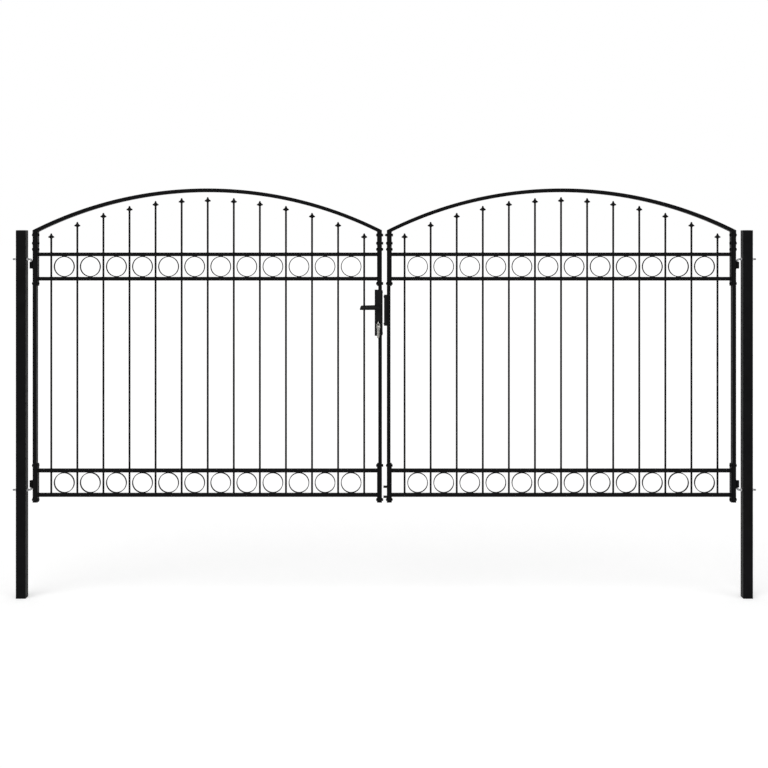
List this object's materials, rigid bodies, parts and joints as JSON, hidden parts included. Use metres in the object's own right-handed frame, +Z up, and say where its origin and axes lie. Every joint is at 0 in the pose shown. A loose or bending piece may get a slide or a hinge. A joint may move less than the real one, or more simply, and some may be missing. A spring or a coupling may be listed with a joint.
{
  "type": "double steel gate",
  "caption": "Double swing gate of black coated steel: arched leaves of spear-tipped round pickets with bands of rings, hook hinges and a lever lock, hung between square posts.",
  "frame": {"origin": "centre of the left post's foot", "axes": "+Z up, +X along the gate from the left post to the right one, -Y towards the side with the keys"},
  "size_m": [3.035, 0.112, 1.6699],
  "materials": {
    "black_steel": "satin powder coat",
    "zinc_steel": "zinc plated",
    "black_plastic": "matte",
    "nickel": "nickel plated",
    "black_handle": "black coated"
  },
  "bodies": {
    "posts": {"left_post": "black_steel", "left_post_cap": "black_plastic", "left_hinge_hooks": "zinc_steel", "left_hinge_nuts": "zinc_steel", "right_post": "black_steel", "right_post_cap": "black_plastic", "right_hinge_hooks": "zinc_steel", "right_hinge_nuts": "zinc_steel"},
    "left_leaf": {"left_hinge_bushes": "black_steel", "left_hinge_stile": "black_steel", "left_meeting_stile": "black_steel", "left_arch": "black_steel", "left_arch_end_plates": "black_steel", "left_upper_end_plates": "black_steel", "left_lower_end_plates": "black_steel", "left_upper_rails": "black_steel", "left_lower_rails": "black_steel", "left_upper_rings": "black_steel", "left_lower_rings": "black_steel", "left_pickets": "black_steel", "left_spear_tips": "black_steel", "lock_case": "black_steel", "lock_faceplate": "black_steel", "lock_bolts": "zinc_steel", "lock_cylinder": "black_steel", "keys": "nickel"},
    "right_leaf": {"right_hinge_bushes": "black_steel", "right_hinge_stile": "black_steel", "right_meeting_stile": "black_steel", "right_arch": "black_steel", "right_arch_end_plates": "black_steel", "right_upper_end_plates": "black_steel", "right_lower_end_plates": "black_steel", "right_upper_rails": "black_steel", "right_lower_rails": "black_steel", "right_upper_rings": "black_steel", "right_lower_rings": "black_steel", "right_pickets": "black_steel", "right_spear_tips": "black_steel", "keep": "black_steel", "drop_bolt_lugs": "black_steel"},
    "lever": {"front_lever": "black_handle", "back_lever": "black_handle", "lever_spindle": "zinc_steel"}
  },
  "joints": [
    {"name": "left_leaf_swing", "type": "hinge", "parent": "posts", "child": "left_leaf", "pos_m": [0.039, 0, 0.464], "axis": [0, 0, 1], "range_deg": [-90, 90]},
    {"name": "right_leaf_swing", "type": "hinge", "parent": "posts", "child": "right_leaf", "pos_m": [2.921, 0, 0.464], "axis": [0, 0, -1], "range_deg": [-90, 90]},
    {"name": "lever_turn", "type": "hinge", "parent": "left_leaf", "child": "lever", "pos_m": [1.45525, 0, 1.184], "axis": [0, -1, 0], "range_deg": [0, 45], "stiffness_Nm_per_rad": 0.6, "springref_deg": -20.05}
  ]
}
